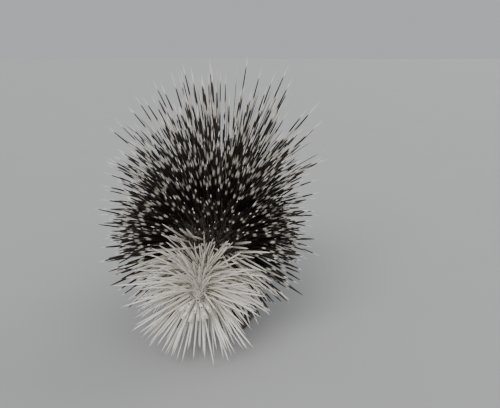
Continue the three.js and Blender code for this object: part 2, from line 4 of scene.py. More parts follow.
import bmesh
import bpy
import numpy as np
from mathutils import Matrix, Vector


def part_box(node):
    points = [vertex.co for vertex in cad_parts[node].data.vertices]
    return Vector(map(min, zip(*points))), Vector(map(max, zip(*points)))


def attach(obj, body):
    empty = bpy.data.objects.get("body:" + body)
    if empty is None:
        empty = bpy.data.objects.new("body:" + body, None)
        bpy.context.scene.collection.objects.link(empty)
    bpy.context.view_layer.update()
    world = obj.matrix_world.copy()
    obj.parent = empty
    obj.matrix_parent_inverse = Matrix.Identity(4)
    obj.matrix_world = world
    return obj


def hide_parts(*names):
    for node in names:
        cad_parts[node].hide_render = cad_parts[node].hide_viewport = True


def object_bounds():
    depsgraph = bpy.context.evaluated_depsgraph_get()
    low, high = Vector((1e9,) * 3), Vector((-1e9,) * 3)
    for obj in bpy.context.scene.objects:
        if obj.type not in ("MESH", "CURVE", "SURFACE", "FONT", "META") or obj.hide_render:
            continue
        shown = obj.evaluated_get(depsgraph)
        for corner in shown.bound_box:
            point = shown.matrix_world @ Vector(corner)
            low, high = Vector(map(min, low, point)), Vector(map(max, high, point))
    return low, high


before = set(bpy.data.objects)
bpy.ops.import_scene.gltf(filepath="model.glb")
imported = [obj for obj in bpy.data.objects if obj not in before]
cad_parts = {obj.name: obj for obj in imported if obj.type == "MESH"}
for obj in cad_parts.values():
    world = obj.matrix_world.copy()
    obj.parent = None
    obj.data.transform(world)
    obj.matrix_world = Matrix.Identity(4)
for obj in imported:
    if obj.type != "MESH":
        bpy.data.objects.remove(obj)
CAD_BOX = [list(corner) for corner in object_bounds()]

SEED = 11
chance = np.random.default_rng(SEED)
MM = 0.001
FULL_TURN = 2 * math.pi
NEAR_ZERO = 1e-9
SIDES = [("left", 1), ("right", -1)]

# Forms of flesh, in millimetres, with the head towards -Y and the animal's left side towards +X.
# Each row is x, y, z, half width, height above and height below the line through its middle.
# On a leg, above means behind and below means in front.
TRUNK = [
    [0, -258, 200, 40, 40, 40],
    [0, -205, 204, 57, 56, 57],
    [0, -150, 203, 80, 76, 76],
    [0, -85, 200, 97, 91, 95],
    [0, 0, 200, 105, 101, 104],
    [0, 85, 203, 111, 105, 106],
    [0, 160, 202, 107, 97, 98],
    [0, 215, 196, 86, 78, 80],
    [0, 255, 188, 55, 50, 52],
    [0, 276, 184, 10, 10, 10],
]
HEAD = [
    [0, -380, 140, 8, 8, 9],
    [0, -375, 142, 27, 25, 27],
    [0, -358, 149, 35, 34, 35],
    [0, -332, 162, 41, 42, 42],
    [0, -302, 176, 49, 49, 49],
    [0, -270, 190, 56, 52, 54],
    [0, -236, 202, 57, 50, 55],
    [0, -196, 206, 42, 40, 42],
]
TAIL = [
    [0, 244, 187, 31, 28, 28],
    [0, 285, 180, 27, 24, 24],
    [0, 322, 170, 21, 19, 19],
    [0, 352, 160, 15, 14, 14],
    [0, 368, 155, 4, 4, 4],
]
FORELEG = [
    [56, -96, 182, 22, 32, 34],
    [65, -102, 140, 30, 40, 40],
    [66, -108, 96, 24, 28, 30],
    [64, -112, 60, 19, 20, 22],
    [63, -112, 34, 19, 20, 23],
    [63, -114, 14, 18, 18, 24],
]
HINDLEG = [
    [66, 140, 196, 26, 46, 46],
    [80, 142, 150, 36, 58, 60],
    [82, 148, 104, 31, 42, 46],
    [80, 160, 64, 22, 26, 30],
    [78, 163, 38, 20, 22, 26],
    [78, 164, 16, 19, 20, 26],
]
# A section is an ellipse at 2, and squarer above that.
ROUNDNESS = 2.25
# The skin's grain, its rounds of smoothing, and where the finer mesh of the head ends.
SKIN_VOXEL = 2.7
SKIN_ROUNDS = 7
FINE_HEAD = {"back": -262, "low": 90}

# Each foot's toes are given by their place across it, their reach and their turn in degrees.
FOREFOOT = {
    "at": (63, -122),
    "back": 22, "front": 34, "half": 22, "high": 24,
    "toes": [(-19, 50, -15), (-6.5, 58, -5), (6.5, 58, 5), (19, 50, 15)],
    "toe_radius": 6.3, "claw": (17, 3.8),
}
HINDFOOT = {
    "at": (78, 140),
    "back": 50, "front": 36, "half": 26, "high": 27,
    "toes": [(-25, 43, -18), (-12.5, 56, -8), (0, 60, 0), (12.5, 56, 8), (25, 43, 18)],
    "toe_radius": 6.1, "claw": (15, 3.6),
}
FEET = [("fore", FOREFOOT), ("hind", HINDFOOT)]
# A pad's sections from its toes to its heel: height of the middle, half width, above and below, as shares.
PAD_SECTIONS = [
    (0.34, 1.0, 0.28, 0.40), (0.4, 1.1, 0.42, 0.50), (0.5, 0.94, 0.55, 0.60), (0.5, 0.82, 0.5, 0.55),
    (0.42, 0.5, 0.35, 0.42),
]
# A toe's sections: share of its length and of its radius.
TOE_SECTIONS = [(0, 0.9), (0.3, 0.98), (0.5, 0.9), (0.72, 1.02), (0.92, 0.85), (1.0, 0.6)]
TOE_ROOT = 0.55
GAP = 0.35
FLOOR_CLEARANCE = 4.0

# Features of the head. The mouth is its left half, from the corner to the middle.
EYE = {"y": -303, "z": 197, "radius": 7.0, "sunk": 0.45}
LID_OPENING = {"half_width": 6.4, "above": 4.4, "below": 3.7}
EAR = {"at": (54, -250, 230), "width": 17, "height": 22, "thick": 10, "wall": 1.2, "turn": 0.95, "lean": 0.2}
MOUTH = [[32, -336, 136], [28, -354, 127], [17, -371, 120], [0, -378, 121]]
MOUTH_LINE = MOUTH + [[-x, y, z] for x, y, z in MOUTH[-2::-1]]
CLEFT = [[0, -382, 146], [0, -381, 134], [0, -378, 121]]
NOSTRIL = (9, -381, 150)
NOSE_PAD = {"at": (0, -380, 148), "radii": (15, 12, 11)}
# Swellings of the head: centre, radii and height.
MIDDLE_SWELLS = [
    ((0, -366, 113), (13, 12, 8), 3.0),
    ((0, -345, 190), (26, 32, 16), 4.0),
    ((0, -380, 158), (15, 10, 7), 2.5),
]
LEFT_SWELLS = [
    ((14, -378, 134), (10, 12, 10), 4.0),
    ((13, -379, 151), (5, 8, 7), 3.4),
    ((33, -334, 140), (16, 18, 14), 3.0),
    ((40, -268, 168), (22, 22, 18), 3.0),
]
# The brow and the cheek, with their centres measured from the eye's.
EYE_SWELLS = [
    ((0, 4, 14), (16, 14, 6), 2.2),
    ((0, 2, -17), (18, 18, 8), 2.0),
]

# The camera stands behind the animal, a little to its right, and looks down on it.
CAMERA = np.array([-168.0, 1534.0, 650.0])
PITCH = math.radians(14)
YAW = math.radians(2.9)
FOCAL = 603.0
PHOTO = (500, 408)

# Pixels of the photograph where the tips of the longest quills of the fan show, and of the tail's white ones.
FAN_TIPS = [
    (249, 50), (290, 62), (294, 75), (291, 85), (322, 99), (325, 118), (325, 159), (302, 168), (182, 62),
    (203, 78), (160, 82), (127, 105), (105, 125), (100, 185), (97, 215), (100, 240), (107, 245), (276, 70),
    (268, 84), (308, 108), (314, 128), (298, 140), (262, 66), (142, 96), (118, 150), (104, 160), (290, 182),
]
TAIL_TIPS = [
    (193, 362), (205, 361), (181, 366), (217, 352), (255, 350), (163, 358), (148, 345), (240, 334),
    (262, 318), (132, 330), (119, 308), (110, 286), (268, 297), (226, 345), (172, 350),
]

# Stretches of the coat along the body, from y to y.
BACK = (-102, 152)
RUMP = (154, 266)
QUILL_SPACING = 12.5
# Each part of the crest: its form, its two y, its half arc, its spacing and its shortest and longest bristle.
CREST = [
    ("crest_withers", TRUNK, (-142, -100), 1.0, 9.5, (270, 415)),
    ("crest_neck", TRUNK, (-222, -142), 0.95, 8.5, (220, 345)),
    ("crest_crown", HEAD, (-292, -226), 0.75, 7.5, (90, 190)),
]
# Rings of a rattle quill, out along its outside and back down its hollow: share of its length and radius.
RATTLE_RINGS = [
    (0, 0.9), (0.36, 0.8), (0.45, 1.6), (0.54, 2.8), (0.75, 3.2), (1.0, 3.4), (0.985, 2.7), (0.75, 2.5),
    (0.56, 2.0), (0.5, 0.4),
]
RATTLE_QUILLS = 16
WHISKERS_A_SIDE = 26
# Rings along a quill, the first of them under the skin, and along a tuft, as shares of the length.
QUILL_RINGS = np.array([-0.03, 0.06, 0.2, 0.36, 0.52, 0.67, 0.8, 0.9, 1.0])
TUFT_RINGS = np.array([0, 0.3, 0.62, 1.0])

# Lights in metres: place, angle and strength.
LIGHTS = [
    ("key", (1.0, 2.6, 2.4), 0.7, 2.0),
    ("side", (-1.6, 2.2, 1.2), 1.0, 0.7),
    ("fill", (-1.8, -2.2, 1.4), 1.2, 1.2),
]
AIM = (0, 0, 0.3)
SKY = {"colour": (0.85, 0.87, 0.90), "strength": 0.55}


def frame_offset():
    """The place of the forms' own origin in the frame, in metres, read from the box of one claw.

    The frame's origin lies under the middle of the whole animal with its quills.
    """
    low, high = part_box("claw_hind_left_3")
    x, y = HINDFOOT["at"]
    _, reach, _ = HINDFOOT["toes"][2]
    tip_y = y - reach - GAP - HINDFOOT["claw"][0]
    return np.array([(low.x + high.x) / 2 - x * MM, low.y - tip_y * MM, 0.0])


OFFSET = frame_offset()


# Shapes as smooth rows
def unit(v):
    return v / np.maximum(np.linalg.norm(v, axis=-1, keepdims=True), NEAR_ZERO)


def dot(a, b):
    return (a * b).sum(-1, keepdims=True)


def basis(normal):
    """A sideways and an upward direction across a normal."""
    side = unit(np.cross([0.0, 0.0, 1.0], normal))
    return side, np.cross(normal, side)


def around(sides):
    """Even angles over a full turn."""
    return np.arange(sides) * FULL_TURN / sides


def spline(rows, t):
    """Rows of numbers as a smooth line, for an array of t from 0 to 1."""
    rows = np.asarray(rows, float)
    place = np.clip(t, 0, 1 - NEAR_ZERO) * (len(rows) - 1)
    row = place.astype(int)
    share = (place - row)[..., None]
    padded = np.vstack([2 * rows[0] - rows[1], rows, 2 * rows[-1] - rows[-2]])
    a, b, c, d = (padded[row + k] for k in range(4))
    square = (2 * a - 5 * b + 4 * c - d) * share ** 2
    cube = (3 * b - a - 3 * c + d) * share ** 3
    return 0.5 * (2 * b + (c - a) * share + square + cube)


def frame_at(rows, t):
    """Middle, sideways, upward and lengthwise directions and the row's sizes at t."""
    t = np.asarray(t, float)
    step = 1e-3
    row = spline(rows, t)
    along = unit(spline(rows, t + step)[..., :3] - spline(rows, t - step)[..., :3])
    side = unit(np.array([1.0, 0, 0]) - along * along[..., :1])
    return row[..., :3], side, np.cross(side, along), along, row[..., 3:]


def point_on(rows, t, angle):
    """Points on a form's surface. Angle 0 is the top, and a quarter turn is the left side."""
    middle, side, up, _, sizes = frame_at(rows, t)
    sine, cosine = np.sin(angle), np.cos(angle)
    high = np.where(cosine > 0, sizes[..., 1], sizes[..., 2])
    wide = sizes[..., 0] * (np.sign(sine) * np.abs(sine) ** (2 / ROUNDNESS))
    tall = high * (np.sign(cosine) * np.abs(cosine) ** (2 / ROUNDNESS))
    return middle + side * wide[..., None] + up * tall[..., None]


def normal_on(rows, t, angle):
    """The directions straight out of a form's surface."""
    step = 6e-3
    before = point_on(rows, np.maximum(t - step, 0), angle)
    after = point_on(rows, np.minimum(t + step, 1), angle)
    sideways = point_on(rows, t, angle + step) - point_on(rows, t, angle - step)
    return unit(np.cross(sideways, after - before))


def t_at_y(rows, y):
    """The t at which a form's middle line passes y."""
    ts = np.linspace(0, 1, 400)
    ys = spline(rows, ts)[:, 1]
    order = np.argsort(ys)
    return np.interp(y, ys[order], ts[order])


def mirrored(rows):
    return [[-x, *rest] for x, *rest in rows]


def on_side(rows, side):
    return rows if side > 0 else mirrored(rows)


def inside(rows, points, margin):
    """Which points lie inside a form, grown by a margin."""
    reach = 12
    middle, side, up, along, sizes = frame_at(rows, np.linspace(0, 1, 60))
    near = ((points[:, None] - middle[None]) ** 2).sum(-1).argmin(1)
    offset = points - middle[near]
    wide = np.abs((offset * side[near]).sum(-1)) / (sizes[near, 0] + margin)
    rise = (offset * up[near]).sum(-1)
    tall = np.abs(rise) / (np.where(rise > 0, sizes[near, 1], sizes[near, 2]) + margin)
    level = np.abs((offset * along[near]).sum(-1)) < reach
    return (wide ** ROUNDNESS + tall ** ROUNDNESS < 1) & level


def turned(points, angle, a, b):
    """Points turned by an angle from axis a towards axis b."""
    c, s = math.cos(angle), math.sin(angle)
    result = points.copy()
    result[:, a] = c * points[:, a] - s * points[:, b]
    result[:, b] = s * points[:, a] + c * points[:, b]
    return result


def polyline_distance(points, line):
    """How far points lie from a line of straight pieces."""
    line = np.asarray(line, float)
    best = np.full(len(points), np.inf)
    for a, b in zip(line[:-1], line[1:]):
        t = np.clip(((points - a) @ (b - a)) / ((b - a) @ (b - a)), 0, 1)
        best = np.minimum(best, np.linalg.norm(points - a - t[:, None] * (b - a), axis=1))
    return best


# Meshes
def add_values(mesh, values):
    """Numbers by vertex, which the materials read."""
    for key, array in values.items():
        layer = mesh.attributes.new(key, "FLOAT", "POINT")
        layer.data.foreach_set("value", np.asarray(array, np.float32).ravel())


def even_values(count, **values):
    return {key: np.full(count, value) for key, value in values.items()}


def linked(name, mesh):
    obj = bpy.data.objects.new(name, mesh)
    bpy.context.scene.collection.objects.link(obj)
    return obj


def mesh_object(name, points, polygons, material=None, values=None, uv=None):
    """A smooth mesh from points in millimetres and faces, with values by vertex and an OFBake map."""
    mesh = bpy.data.meshes.new(name)
    mesh.vertices.add(len(points))
    mesh.vertices.foreach_set("co", (points * MM + OFFSET).astype(np.float32).ravel())
    corners = np.concatenate([p.ravel() for p in polygons])
    counts = np.concatenate([np.full(len(p), p.shape[1]) for p in polygons])
    starts = np.concatenate([[0], np.cumsum(counts)[:-1]])
    mesh.loops.add(len(corners))
    mesh.loops.foreach_set("vertex_index", corners.astype(np.int32))
    mesh.polygons.add(len(counts))
    mesh.polygons.foreach_set("loop_start", starts.astype(np.int32))
    mesh.polygons.foreach_set("use_smooth", np.ones(len(counts), bool))
    mesh.update(calc_edges=True)
    add_values(mesh, values or {})
    if uv is not None:
        layer = mesh.uv_layers.new(name="OFBake")
        layer.uv.foreach_set("vector", uv[corners].astype(np.float32).ravel())
    if material:
        mesh.materials.append(material)
    return linked(name, mesh)


def tidy_normals(obj):
    """Merges points that lie on each other and turns every face outwards."""
    clean = bmesh.new()
    clean.from_mesh(obj.data)
    bmesh.ops.remove_doubles(clean, verts=clean.verts, dist=1e-6)
    bmesh.ops.recalc_face_normals(clean, faces=clean.faces)
    clean.to_mesh(obj.data)
    clean.free()


def grid_faces(rings, sides):
    i, j = np.meshgrid(np.arange(rings - 1), np.arange(sides), indexing="ij")
    a = i * sides + j
    b = i * sides + (j + 1) % sides
    return np.stack([a, b, b + sides, a + sides], -1).reshape(-1, 4)


def tube(rings):
    """Rings of points as a closed form: its points, its quads and the triangles of its two ends."""
    count, sides = rings.shape[:2]
    ends = np.stack([rings[0].mean(0), rings[-1].mean(0)])
    first = count * sides
    last = first - sides
    j = np.arange(sides)
    after = (j + 1) % sides
    tris = np.concatenate([
        np.stack([np.full(sides, first), after, j], -1),
        np.stack([np.full(sides, first + 1), last + j, last + after], -1),
    ])
    return np.vstack([rings.reshape(-1, 3), ends]), grid_faces(count, sides), tris


def lofted(rows, steps, sides):
    """A form of flesh as a closed tube."""
    t, angle = np.meshgrid(np.linspace(0, 1, steps + 1), around(sides), indexing="ij")
    return tube(point_on(rows, t, angle))


def joined(parts):
    """Several sets of points, quads and triangles as one."""
    points, quads, tris, start = [], [], [], 0
    for p, q, t in parts:
        points.append(p)
        quads.append(q + start)
        tris.append(t + start)
        start += len(p)
    return np.vstack(points), np.vstack(quads), np.vstack(tris)


def strands(name, paths, sizes, across, sides, tone, white, patches, material):
    """Tapered quills, bristles or tufts as one mesh of closed, pointed tubes.

    paths is strand by point by 3, the last point being the tip. sizes are the half widths and the half
    thicknesses, by strand and ring. patches are each strand's corner on the map and the size of its patch.
    """
    half, thick = sizes
    corner, patch_size = patches
    count = len(paths)
    rings = paths.shape[1] - 1
    tangent = np.empty((count, rings, 3))
    tangent[:, 0] = paths[:, 1] - paths[:, 0]
    tangent[:, 1:] = paths[:, 2:] - paths[:, :-2]
    tangent = unit(tangent)
    side = unit(across[:, None] - tangent * dot(across[:, None], tangent))
    up = np.cross(side, tangent)
    turn = around(sides)
    ring = side[:, :, None] * (half[..., None] * np.sin(turn))[..., None]
    ring = ring + up[:, :, None] * (thick[..., None] * np.cos(turn))[..., None] + paths[:, :-1, None]
    each = rings * sides + 1
    points = np.concatenate([ring.reshape(count, -1, 3), paths[:, -1:]], 1).reshape(-1, 3)
    base = (np.arange(count) * each)[:, None, None]
    quads = (grid_faces(rings, sides)[None] + base).reshape(-1, 4)
    j = np.arange(sides)
    last = (rings - 1) * sides
    tips = np.stack([last + j, last + (j + 1) % sides, np.full(sides, each - 1)], -1)
    k = np.arange(1, sides - 1)
    roots = np.stack([np.zeros(sides - 2, int), k + 1, k], -1)
    tris = (np.vstack([tips, roots])[None] + base).reshape(-1, 3)
    share = np.append(np.repeat(np.arange(rings) / rings, sides), 1.0)
    column = np.append(np.tile(j / sides, rings), 0.5)
    patch = np.stack([column, share], -1)
    uv = (np.asarray(corner)[:, None] + patch[None] * np.asarray(patch_size)).reshape(-1, 2)
    values = {"along": np.tile(share, count), "tone": np.repeat(tone, each), "white": np.repeat(white, each)}
    return mesh_object(name, points, [quads, tris], material, values, np.clip(uv, 0, 1))


def cells(count):
    """The corners of even patches of the map, one for each strand, and the size of a patch."""
    wide = math.ceil(math.sqrt(count))
    margin, filled = 0.05, 0.9
    k = np.arange(count)
    return np.stack([k % wide, k // wide], -1) / wide + margin / wide, (filled / wide, filled / wide)


# Materials
DARK = (0.022, 0.016, 0.012)
BROWN = (0.070, 0.052, 0.040)
IVORY = (0.80, 0.76, 0.68)
WHITE = (0.90, 0.88, 0.84)
GREY_TAN = (0.26, 0.22, 0.175)
HORN = (0.05, 0.038, 0.028)
HORN_ROOT = (0.03, 0.022, 0.018)
BARE = (0.085, 0.062, 0.055)
BARE_DARK = (0.05, 0.036, 0.032)
PALE_SKIN = (0.5, 0.47, 0.42)
PUPIL = (0.006, 0.004, 0.003)
IRIS = (0.020, 0.012, 0.008)
STAIN = (0.80, 0.77, 0.72)
CLEAN = (1.0, 1.0, 1.0)
FLOOR_DARK = (0.41, 0.41, 0.41)
FLOOR_PALE = (0.44, 0.44, 0.44)


class Nodes:
    """A material's nodes, with short calls to add and link them."""

    def __init__(self, name, roughness, **sockets):
        self.material = bpy.data.materials.new(name)
        self.material.use_nodes = True
        self.tree = self.material.node_tree
        self.shader = self.tree.nodes["Principled BSDF"]
        self.shader.inputs["Roughness"].default_value = roughness
        for key, value in sockets.items():
            self.shader.inputs[key.replace("_", " ").title()].default_value = value

    def put(self, socket, value):
        """Links a socket to another node's socket, or gives it a number or a colour."""
        if isinstance(value, bpy.types.NodeSocket):
            self.tree.links.new(value, socket)
        else:
            socket.default_value = (*value, 1) if isinstance(value, tuple) else value

    def add(self, kind, inputs=None, **settings):
        node = self.tree.nodes.new("ShaderNode" + kind)
        for key, value in settings.items():
            setattr(node, key, value)
        for key, value in (inputs or {}).items():
            self.put(node.inputs[key], value)
        return node

    def attribute(self, name):
        return self.add("Attribute", attribute_name=name).outputs["Fac"]

    def math(self, operation, a, b):
        return self.add("Math", {0: a, 1: b}, operation=operation).outputs[0]

    def ramp(self, factor, stops):
        node = self.add("ValToRGB", {"Fac": factor})
        elements = node.color_ramp.elements
        while len(elements) < len(stops):
            elements.new(1.0)
        for element, (place, _) in zip(elements, stops):
            element.position = place
        for element, (_, colour) in zip(elements, stops):
            element.color = (*colour, 1)
        return node.outputs["Color"]

    def mix(self, factor, a, b, blend="MIX"):
        node = self.add("Mix", data_type="RGBA", blend_type=blend)
        for name, value in (("Factor", factor), ("A", a), ("B", b)):
            self.put(next(s for s in node.inputs if s.name == name and s.enabled), value)
        return next(s for s in node.outputs if s.enabled)

    def noise(self, scale, detail=4.0):
        place = self.add("TexCoord").outputs["Object"]
        return self.add("TexNoise", {"Vector": place, "Scale": scale, "Detail": detail}).outputs["Fac"]

    def colour(self, socket):
        self.put(self.shader.inputs["Base Color"], socket)

    def bump(self, height, distance, strength):
        node = self.add("Bump", {"Height": height, "Distance": distance, "Strength": strength})
        self.put(self.shader.inputs["Normal"], node.outputs["Normal"])


def banded(name, stops, roughness=0.38):
    """Horn with bands along each quill, which shift a little from quill to quill.

    The value white turns a quill plain ivory.
    """
    look = Nodes(name, roughness)
    shift = look.math("MULTIPLY", look.math("SUBTRACT", look.attribute("tone"), 0.5), 0.09)
    bands = look.ramp(look.math("ADD", look.attribute("along"), shift), stops)
    plain = look.ramp(look.attribute("along"), [(0.0, GREY_TAN), (0.12, IVORY), (1.0, WHITE)])
    colour = look.mix(look.attribute("white"), bands, plain)
    stain = look.ramp(look.noise(60.0), [(0.35, STAIN), (0.65, CLEAN)])
    look.colour(look.mix(0.8, colour, stain, "MULTIPLY"))
    look.bump(look.noise(900.0, 2.0), 0.0002, 0.4)
    return look.material


def furred(name):
    """Short bristly hair: near black, browner and paler towards the tips, and white where the collar is."""
    look = Nodes(name, 0.72)
    dark = look.mix(look.noise(18.0), DARK, BROWN)
    tipped = look.mix(look.math("MULTIPLY", look.attribute("along"), look.attribute("tone")), dark, GREY_TAN)
    look.colour(look.mix(look.attribute("white"), tipped, IVORY))
    return look.material


def skin_material():
    look = Nodes("skin", 0.75)
    ground = look.mix(look.noise(22.0), DARK, BROWN)
    bare = look.mix(look.noise(140.0), BARE, BARE_DARK)
    colour = look.mix(look.attribute("bare"), ground, bare)
    look.colour(look.mix(look.attribute("white"), colour, PALE_SKIN))
    look.bump(look.noise(420.0, 6.0), 0.0009, 0.7)
    return look.material


def claw_material():
    look = Nodes("claw", 0.32)
    look.colour(look.ramp(look.attribute("along"), [(0.0, HORN_ROOT), (0.7, HORN), (1.0, GREY_TAN)]))
    look.bump(look.noise(700.0, 2.0), 0.0002, 0.5)
    return look.material


def eye_material():
    look = Nodes("eye", 0.04, coat_weight=1.0, coat_roughness=0.02)
    look.colour(look.mix(look.noise(250.0), PUPIL, IRIS))
    return look.material


# The bands of a quill from root to tip.
LONG_QUILL = banded("long_quill", [
    (0.0, IVORY), (0.09, IVORY), (0.13, DARK), (0.33, DARK), (0.36, IVORY), (0.39, IVORY), (0.42, DARK),
    (0.58, DARK), (0.61, IVORY), (0.67, IVORY), (0.70, DARK), (0.84, DARK), (0.87, WHITE), (1.0, WHITE),
])
STOUT_QUILL = banded("stout_quill", [
    (0.0, IVORY), (0.08, IVORY), (0.13, DARK), (0.52, DARK), (0.56, IVORY), (0.595, IVORY), (0.635, DARK),
    (0.90, DARK), (0.94, WHITE), (1.0, WHITE),
])
CREST_BRISTLE = banded("crest_bristle", [
    (0.0, BROWN), (0.30, BROWN), (0.42, GREY_TAN), (0.5, BROWN), (0.78, DARK), (0.86, IVORY), (1.0, WHITE),
], 0.5)
FUR = furred("bristly_fur")
SKIN = skin_material()
CLAW = claw_material()
EYE_SURFACE = eye_material()


# Feet
def pad_rows(side, foot):
    """A foot's pad, from its front to its heel."""
    x, y = foot["at"]
    half, high = foot["half"], foot["high"]
    places = [-foot["front"], -0.6 * foot["front"], 0, 0.6 * foot["back"], foot["back"]]
    return [
        [side * x, y + place, high * middle, half * wide, high * above, high * below]
        for place, (middle, wide, above, below) in zip(places, PAD_SECTIONS)
    ]


def toe_line(side, foot, toe):
    """A toe's root, its tip and the direction in which its claw goes on."""
    x, y = foot["at"]
    across, reach, turn = toe
    radius = foot["toe_radius"]
    root = foot["front"] * TOE_ROOT
    heading = -side * math.radians(turn)
    forward = np.array([math.sin(heading), -math.cos(heading), 0.0])
    start = np.array([side * (x - across), y - root, radius * 1.05])
    end = start + forward * (reach - root)
    end[2] = radius * 0.85
    return start, end, forward


def toe_rows(side, foot, toe):
    """A toe, from its tip to its root."""
    start, end, _ = toe_line(side, foot, toe)
    radius = foot["toe_radius"]
    return [[*(start + (end - start) * share), *[radius * size] * 3] for share, size in TOE_SECTIONS[::-1]]


# Head
def eye_at(side):
    """The middle of an eyeball, and the direction in which it looks."""
    t = t_at_y(HEAD, EYE["y"])
    middle, _, _, _, sizes = frame_at(HEAD, t)
    angle = np.array(side * math.acos(np.clip((EYE["z"] - middle[2]) / sizes[1], -1, 1)))
    normal = normal_on(HEAD, t, angle)
    return point_on(HEAD, t, angle) - normal * EYE["radius"] * EYE["sunk"], normal


def nostril_line(side, inner, middle, outer):
    """A nostril's slit, from points measured from the middle of the left one."""
    place = np.array(NOSTRIL)
    return [(place + step) * [side, 1, 1] for step in (inner, middle, outer)]


def groove(points, line, width):
    return np.exp(-(polyline_distance(points, line) / width) ** 2)


def head_relief(points):
    """How far the head's features stand out of its surface, or lie in it, in millimetres."""
    from_lips = polyline_distance(points, MOUTH_LINE)
    relief = 2.0 * np.exp(-((from_lips - 4.6) / 2.6) ** 2) - 3.6 * groove(points, MOUTH_LINE, 1.7)
    relief -= 2.6 * groove(points, CLEFT, 1.5)
    swells = list(MIDDLE_SWELLS)
    for _, side in SIDES:
        relief -= 7.0 * groove(points, nostril_line(side, (-1, 0, -3), (1, 0, 0), (6, 2, 3)), 2.3)
        centre, normal = eye_at(side)
        swells += [((side * x, y, z), radii, height) for (x, y, z), radii, height in LEFT_SWELLS]
        swells += [(centre + place, radii, height) for place, radii, height in EYE_SWELLS]
        swells.append((centre + normal * 3, (10, 12, 9), -1.0))
    for centre, radii, height in swells:
        relief += height * np.exp(-(((points - centre) / radii) ** 2).sum(1))
    return relief


def lids(side):
    """Upper and lower lids round the eyeball, as one closed ring with an almond opening."""
    sides = 48
    centre, normal = eye_at(side)
    right, up = basis(normal)
    turn = around(sides)
    wide = LID_OPENING["half_width"] * np.cos(turn)
    tall = np.where(np.sin(turn) > 0, LID_OPENING["above"], LID_OPENING["below"]) * np.sin(turn)
    almond = np.stack([wide, tall], -1)
    circle = np.stack([np.cos(turn), np.sin(turn)], -1)

    def placed(flat, depth):
        return centre + right * flat[:, :1] + up * flat[:, 1:] + normal * depth

    def on_ball(radius, spread):
        flat = almond * spread
        depth = np.sqrt(np.maximum(radius ** 2 - (flat ** 2).sum(-1), 0.2))
        return placed(flat, depth[:, None])

    rings = [on_ball(7.1, 1.0), on_ball(8.1, 1.02), on_ball(8.5, 1.2)]
    rings += [placed(circle * reach, depth) for reach, depth in [(8.9, 3.8), (10.4, 1.0), (7.5, -2.0)]]
    j = np.arange(sides)
    after = (j + 1) % sides
    last = (len(rings) - 1) * sides
    close = np.stack([last + j, last + after, after, j], -1)
    return np.concatenate(rings), np.vstack([grid_faces(len(rings), sides), close])[:, ::-1]


def ear(side):
    """A thin cup with a rolled rim, hollow in front, sunk into the side of the head."""
    rings, sides = 14, 48
    r = np.linspace(0, 1, rings)[:, None]
    a = around(sides)[None]
    notch = 1 - 0.10 * np.exp(-((np.angle(np.exp(1j * (a + 2.3)))) / 0.35) ** 2)
    x = EAR["width"] * r * np.cos(a) * notch
    z = EAR["height"] * r * np.sin(a) * notch * np.where(np.sin(a) > 0, 1.0, 0.9)
    back = EAR["thick"] * np.sqrt(np.maximum(1 - r ** 2, 0)) * np.ones_like(a)
    wall = EAR["wall"] * (1 + np.exp(-((r - 0.93) / 0.06) ** 2))
    ridge = 2.4 * np.exp(-((r - 0.55) / 0.12) ** 2) * np.clip(np.cos(a - 2.4), 0, 1) * (r < 0.9)
    outer = np.stack([x, back, z], -1)
    inner = np.stack([x * 0.985, back - wall - 0.5 + ridge, z * 0.985], -1)
    points = np.concatenate([outer.reshape(-1, 3), inner.reshape(-1, 3)])
    points[:, 0] *= side
    points = turned(points, side * EAR["turn"], 0, 1)
    points = turned(points, EAR["lean"], 2, 1)
    points += np.array(EAR["at"]) * [side, 1, 1]
    shell = rings * sides
    edge = shell - sides + np.arange(sides)
    after = shell - sides + (np.arange(sides) + 1) % sides
    rim = np.stack([edge, after, after + shell, edge + shell], -1)
    cup = grid_faces(rings, sides)
    quads = np.vstack([cup[:, ::-1], cup + shell, rim])
    return points, quads if side > 0 else quads[:, ::-1]


def eyeballs():
    """Glossy balls, each with a swell for the cornea."""
    turns, rings = 48, 25
    for word, side in SIDES:
        centre, normal = eye_at(side)
        right, up = basis(normal)
        lat, lon = np.meshgrid(np.linspace(0, math.pi, rings), around(turns), indexing="ij")
        radius = EYE["radius"] + 0.7 * np.exp(-(lat / 0.5) ** 2)
        local = np.stack([np.sin(lat) * np.cos(lon), np.sin(lat) * np.sin(lon), np.cos(lat)], -1)
        local *= radius[..., None]
        points = centre + local[..., :1] * right + local[..., 1:2] * up + local[..., 2:] * normal
        quads = grid_faces(rings, turns)[:, ::-1]
        eye = mesh_object("eyeball_" + word, points.reshape(-1, 3), [quads], EYE_SURFACE)
        tidy_normals(eye)
        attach(eye, "root")
        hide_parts("eye_" + word)


# Skin: one closed surface under the whole coat
def whiteness(points):
    """Where skin and coat are white, as a share from 0 to 1: a short band across the throat, and the tail."""
    y, z = points[:, 1], points[:, 2]
    level = np.clip((218 - z) / 25, 0, 1) * np.clip((z - 118) / 14, 0, 1)
    throat = level * np.clip(1.6 - np.abs(y + (z - 150) * 0.55 + 196) / 13, 0, 1)
    return np.maximum(throat, np.clip((y - 262) / 16, 0, 1))


def bareness(points):
    """Where the skin has no fur, as a share from 0 to 1: the tip of the nose and the soles."""
    nose = 1.4 - np.linalg.norm((points - NOSE_PAD["at"]) / np.array(NOSE_PAD["radii"]), axis=1)
    soles = (26 - points[:, 2]) / 8
    return np.clip(np.maximum(nose, soles), 0, 1)


